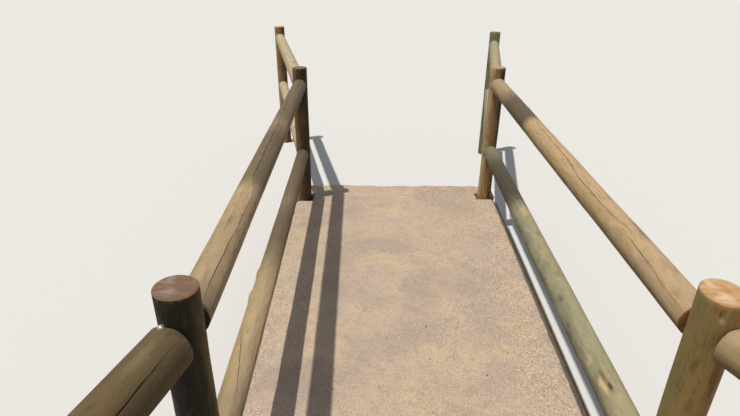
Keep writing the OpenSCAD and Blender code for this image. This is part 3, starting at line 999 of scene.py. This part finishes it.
def dress_planks():
    """The deck planks with broken edges, a tone each, and end grain round a pith below each of them."""
    bm = plain_copy("deck_planks")
    break_edges(bm, PLANK_EDGE)
    low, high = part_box("deck_planks")
    cut_across(bm, low.x, high.x, Vector((1, 0, 0)), PLANK_STEP)
    tone = bm.verts.layers.float.new("tone")
    grain = bm.verts.layers.float_vector.new("grain")
    bm.normal_update()
    pitch = (high.y - low.y) / PLANK_COUNT
    tones = [random.Random(PLANK_SEED + n).random() for n in range(PLANK_COUNT)]
    for vert in bm.verts:
        plank = min(PLANK_COUNT - 1, int((vert.co.y - low.y) / pitch))
        vert[tone] = tones[plank]
        pith = low + Vector((0, pitch * (plank + 0.25 + tones[plank] / 2), -PITH_BELOW * (1 + tones[plank])))
        vert[grain] = Vector((vert.co.y - pith.y, vert.co.z - pith.z, vert.co.x))
        vert.co.z += PLANK_TOP[0] * noise.noise(vert.co * PLANK_TOP[1])
        vert.co.y += PLANK_SIDE[0] * noise.noise(vert.co * PLANK_SIDE[1] + Vector((9, 0, 0)))
    for face in bm.faces:
        face.material_index = int(abs(face.normal.x) > PLANK_END_FACING)
    shade(bm, CREASE)
    as_piece(bm, "planks", (rough_plank(), END["plank"]), "deck_planks")


dress_planks()


# Gravel

GRAVEL_LOW, GRAVEL_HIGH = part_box("gravel_surface")
# Corners above this are on the gravel's top
GRAVEL_TOP = GRAVEL_HIGH.z - 0.1 * MM
GRAVEL_STEP = 20 * MM
# Bumps of the top: height in millimetres, and how many to a metre. They sink a little below the solid's top
BUMPS = ((3.0, 5), (1.4, 22), (0.9, 60))
BUMPS_BELOW = 1.5 * MM
# How far in from its rim the gravel crumbles, how far down, and how steeply
CRUMBLE = 45 * MM
CRUMBLE_FALL = 26 * MM
CRUMBLE_POWER = 1.6
# How gritty the gravel is below its top and at its rim, and how far in that reaches on the left and right
GRITTY_BELOW = 0.35
GRITTY_RIM = 0.8
GRITTY_REACH = (0.05, 0.33)
# The holes for the posts lie within this of the posts' feet
HOLE_REACH = 110 * MM
# Loose grains: how many, mean and spread of the logarithm of their radius in millimetres, the largest radius,
# a grain's rise above the crust as a share of its radius, and how many are made at a time
GRIT_COUNT = 3600
GRIT_SIZES = (0.6, 0.45)
LARGEST_GRIT = 7.0
GRIT_RISE = 0.25
HANDFUL = 60
# Their density inside the rim and what the rim adds, and over what distance that fades
GRIT_INSIDE = 0.22
GRIT_AT_RIM = 0.8
GRIT_FADE = 0.08
GRIT_SEED = 12
TONE_SEED = 5


def sandy_gravel():
    """Compacted sandy gravel: a beige, dull crust, sandier or greyer in patches, and gritty at its rim."""
    material, nodes = new_material("compacted_sandy_gravel")
    place = add(nodes, "TexCoord", {}).outputs["Object"]
    margin = add(nodes, "Attribute", {}, attribute_name="margin").outputs["Fac"]
    # Patches of 300 mm, damp blotches of 45 mm, and sand of 4 mm, drawn a little coarser than real to show
    broad = add(nodes, "TexNoise", {"Vector": place, "Scale": 1 / (300 * MM), "Detail": 3.0}).outputs[1]
    tones = add(nodes, "SeparateColor", {0: broad}).outputs
    damp = add(nodes, "TexNoise", {"Vector": place, "Scale": 1 / (45 * MM), "Detail": 2.0})
    sand = add(nodes, "TexNoise", {"Vector": place, "Scale": 1 / (4 * MM), "Detail": 3.0})
    layers = []
    for value, low, high, most, tone in (
            (tones[0], 0.46, 0.62, 1.0, "#d0bc9f"), (tones[1], 0.48, 0.64, 1.0, "#b5a498"),
            (damp, 0.5, 0.68, 0.45, "#a59286"), (sand, 0.5, 0.68, 0.7, "#8f7d6f"),
            (sand, 0.46, 0.33, 0.65, "#d8c8b6")):
        mask = add(nodes, "MapRange", {"Value": value, "From Min": low, "From Max": high, "To Max": most})
        layers.append((mask, 1, tone))
    # Stones of 7 mm, bedded where the crust is gritty
    cells = add(nodes, "TexVoronoi", {"Vector": place, "Scale": 1 / (7 * MM)}).outputs
    speck = add(nodes, "SeparateColor", {0: cells["Color"]}).outputs
    gritty = add(nodes, "Math", {0: tones[2], 1: 0.9, 2: margin}, operation="MULTIPLY_ADD")
    gritty = add(nodes, "MapRange", {"Value": gritty, "From Min": 0.45, "To Min": 0.2})
    bedded = add(nodes, "MapRange", {"Value": cells["Distance"], "From Min": 0.55, "From Max": 0.42})
    bedded = add(nodes, "Math", {0: gritty, 1: bedded}, operation="MULTIPLY")
    for number, low, tone in (
            (0, 0.62, "#d9ccbc"), (1, 0.72, "#8f8170"), (2, 0.78, "#b18d7c"), (1, 0.88, "#a39b90")):
        chosen = add(nodes, "Math", {0: speck[number], 1: low}, operation="GREATER_THAN")
        mask = add(nodes, "Math", {0: chosen, 1: bedded}, operation="MULTIPLY")
        layers.append((mask, 1, tone))
    height = add(nodes, "Math", {0: cells["Distance"], 1: -0.5, 2: sand}, operation="MULTIPLY_ADD")
    finish_surface(nodes, layered(nodes, linear("#c7b4a3"), layers), height, 1.6 * MM, 0.92)
    return material


def outer_rim(bm):
    """The stretches of the gravel's upper rim, apart from those round the posts."""
    feet = [post.start.to_2d() for post in posts.values()]
    rim = []
    for edge in bm.edges:
        a, b = (v.co for v in edge.verts)
        at_post = any((((a + b) / 2).to_2d() - foot).length < HOLE_REACH for foot in feet)
        upper = min(a.z, b.z) > GRAVEL_TOP
        if upper and not at_post and edge.is_manifold and edge.calc_face_angle() > radians(60):
            rim.append((a.copy(), b.copy()))
    return rim


def gap_to(place, rim):
    """Distance from a place to the nearest stretch of the rim, in plan."""
    best = 1.0
    for a, b in rim:
        run = (b - a).to_2d()
        share = min(1.0, max(0.0, (place - a).to_2d().dot(run) / run.dot(run)))
        best = min(best, ((a.to_2d() + run * share) - place.to_2d()).length)
    return best


def dress_gravel(bm, rim):
    """The gravel layer: an uneven top that crumbles away at its rim."""
    cut_across(bm, GRAVEL_LOW.x, GRAVEL_HIGH.x, Vector((1, 0, 0)), GRAVEL_STEP)
    cut_across(bm, GRAVEL_LOW.y, GRAVEL_HIGH.y, Vector((0, 1, 0)), GRAVEL_STEP)
    margin = bm.verts.layers.float.new("margin")
    for vert in bm.verts:
        vert[margin] = GRITTY_BELOW
        if vert.co.z < GRAVEL_TOP:
            continue
        gap = gap_to(vert.co, rim)
        vert[margin] = GRITTY_RIM * exp(-gap / GRITTY_REACH[vert.co.x > 0])
        ragged = CRUMBLE * max(0.3, 0.7 + 0.8 * noise.noise(vert.co * 9))
        fall = max(0.0, 1 - gap / ragged) ** CRUMBLE_POWER
        uneven = sum(height * noise.noise(vert.co * count) for height, count in BUMPS)
        vert.co.z += uneven * MM - BUMPS_BELOW - fall * CRUMBLE_FALL
    shade(bm)
    return as_piece(bm, "gravel", (sandy_gravel(),), "gravel_surface")


def grit():
    """Loose grains of the gravel: broken stone, dull, in beige, pinkish brown, grey and cream."""
    material, nodes = new_material("loose_grit")
    own = add(nodes, "Attribute", {}, attribute_name="stone").outputs["Fac"]
    layers = []
    for low, tone in (
            (0.35, "#b6a08c"), (0.55, "#9f7a68"), (0.7, "#8b8279"), (0.82, "#d9cbb9"), (0.95, "#76675a")):
        chosen = add(nodes, "Math", {0: own, 1: low}, operation="GREATER_THAN")
        layers.append((chosen, 1, tone))
    place = add(nodes, "TexCoord", {}).outputs["Object"]
    rough = add(nodes, "TexNoise", {"Vector": place, "Scale": 1 / (2 * MM), "Detail": 1.0})
    finish_surface(nodes, layered(nodes, linear("#c9b5a1"), layers), rough, 0.4 * MM, 0.9)
    return material


def heap_of_stones(places):
    """One mesh of small broken stones, each with a number of its own on its corners."""
    rng = random.Random(TONE_SEED)
    heap = bmesh.new()
    mesh = bpy.data.meshes.new("loose_grit")
    # Handfuls are made one by one, because an operator on the whole heap would slow down with its size
    for first in range(0, len(places), HANDFUL):
        handful = bmesh.new()
        own = handful.verts.layers.float.new("stone")
        for place in places[first:first + HANDFUL]:
            tone = rng.random()
            for vert in bmesh.ops.create_icosphere(handful, subdivisions=1, radius=1, matrix=place)["verts"]:
                vert[own] = tone
        handful.to_mesh(mesh)
        handful.free()
        heap.from_mesh(mesh)
    heap.to_mesh(mesh)
    heap.free()
    return mesh


def scatter_grit(gravel, rim):
    """Loose grains on the gravel, most of them near its rim."""
    rng = random.Random(GRIT_SEED)
    low, high = GRAVEL_LOW, GRAVEL_HIGH
    mesh = gravel.data
    tree = BVHTree.FromPolygons([v.co for v in mesh.vertices], [p.vertices for p in mesh.polygons])
    places = []
    while len(places) < GRIT_COUNT:
        place = Vector((rng.uniform(low.x, high.x), rng.uniform(low.y, high.y), high.z + 0.1))
        hit = tree.ray_cast(place, Vector((0, 0, -1)))[0]
        if hit is None or hit.z < low.z + 2 * MM:
            continue
        if rng.random() > GRIT_INSIDE + GRIT_AT_RIM * exp(-gap_to(hit, rim) / GRIT_FADE):
            continue
        size = min(LARGEST_GRIT, rng.lognormvariate(*GRIT_SIZES)) * MM
        turn = Euler([rng.uniform(0, 2 * pi) for _ in range(3)]).to_matrix().to_4x4()
        squash = Matrix.Diagonal((size, size * rng.uniform(0.7, 1), size * rng.uniform(0.5, 0.8), 1))
        places.append(Matrix.Translation(hit + Vector((0, 0, size * GRIT_RISE))) @ turn @ squash)
    piece = place_mesh(heap_of_stones(places), "loose_grit", [grit()])
    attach(piece, "root")


gravel_layer = plain_copy("gravel_surface")
gravel_rim = outer_rim(gravel_layer)
scatter_grit(dress_gravel(gravel_layer, gravel_rim), gravel_rim)


# Stage and light

def direct_ray(nodes):
    """1 on a ray from the eye, also by way of a shiny or clear surface, and 0 on one that gives light."""
    seen = add(nodes, "LightPath", {})
    direct = seen.outputs["Is Camera Ray"]
    for kind in ("Is Glossy Ray", "Is Transmission Ray"):
        direct = add(nodes, "Math", {0: direct, 1: seen.outputs[kind]}, operation="MAXIMUM")
    return direct


def make_stage():
    """A plain pale floor, which bounces light like a darker one."""
    material, nodes = new_material("studio_floor")
    tones = {0: direct_ray(nodes), 6: linear("#86837d"), 7: linear("#dfe1e4")}
    colour = add(nodes, "Mix", tones, data_type="RGBA").outputs[2]
    surface = add(nodes, "BsdfDiffuse", {"Color": colour})
    add(nodes, "OutputMaterial", {"Surface": surface})
    bm = bmesh.new()
    bmesh.ops.create_grid(bm, x_segments=8, y_segments=8, size=FLOOR_SIZE / 2)
    place_mesh(mesh_from(bm, "studio_floor"), "studio_floor", [material])


def make_light():
    """A distant lamp from high on the left, and an even pale sky."""
    lamp = bpy.data.lights.new("lamp", "SUN")
    lamp.energy = LAMP_STRENGTH
    lamp.angle = LAMP_ANGLE
    lamp.color = linear("#fff6e8")[:3]
    new_object("lamp", lamp).rotation_euler = LAMP_FROM.to_track_quat("Z", "Y").to_euler()
    world = bpy.data.worlds.new("sky")
    world.use_nodes = True
    nodes = world.node_tree.nodes
    nodes.clear()
    seen = direct_ray(nodes)
    strength = add(nodes, "MapRange", {"Value": seen, "To Min": SKY_STRENGTH, "To Max": 1.0})
    tones = {0: seen, 6: linear("#f2f5fa"), 7: linear("#ece8e1")}
    colour = add(nodes, "Mix", tones, data_type="RGBA").outputs[2]
    sky = add(nodes, "Background", {"Color": colour, "Strength": strength})
    add(nodes, "OutputWorld", {"Surface": sky})
    bpy.context.scene.world = world


make_stage()
make_light()
bpy.context.scene.view_settings.view_transform = "Standard"
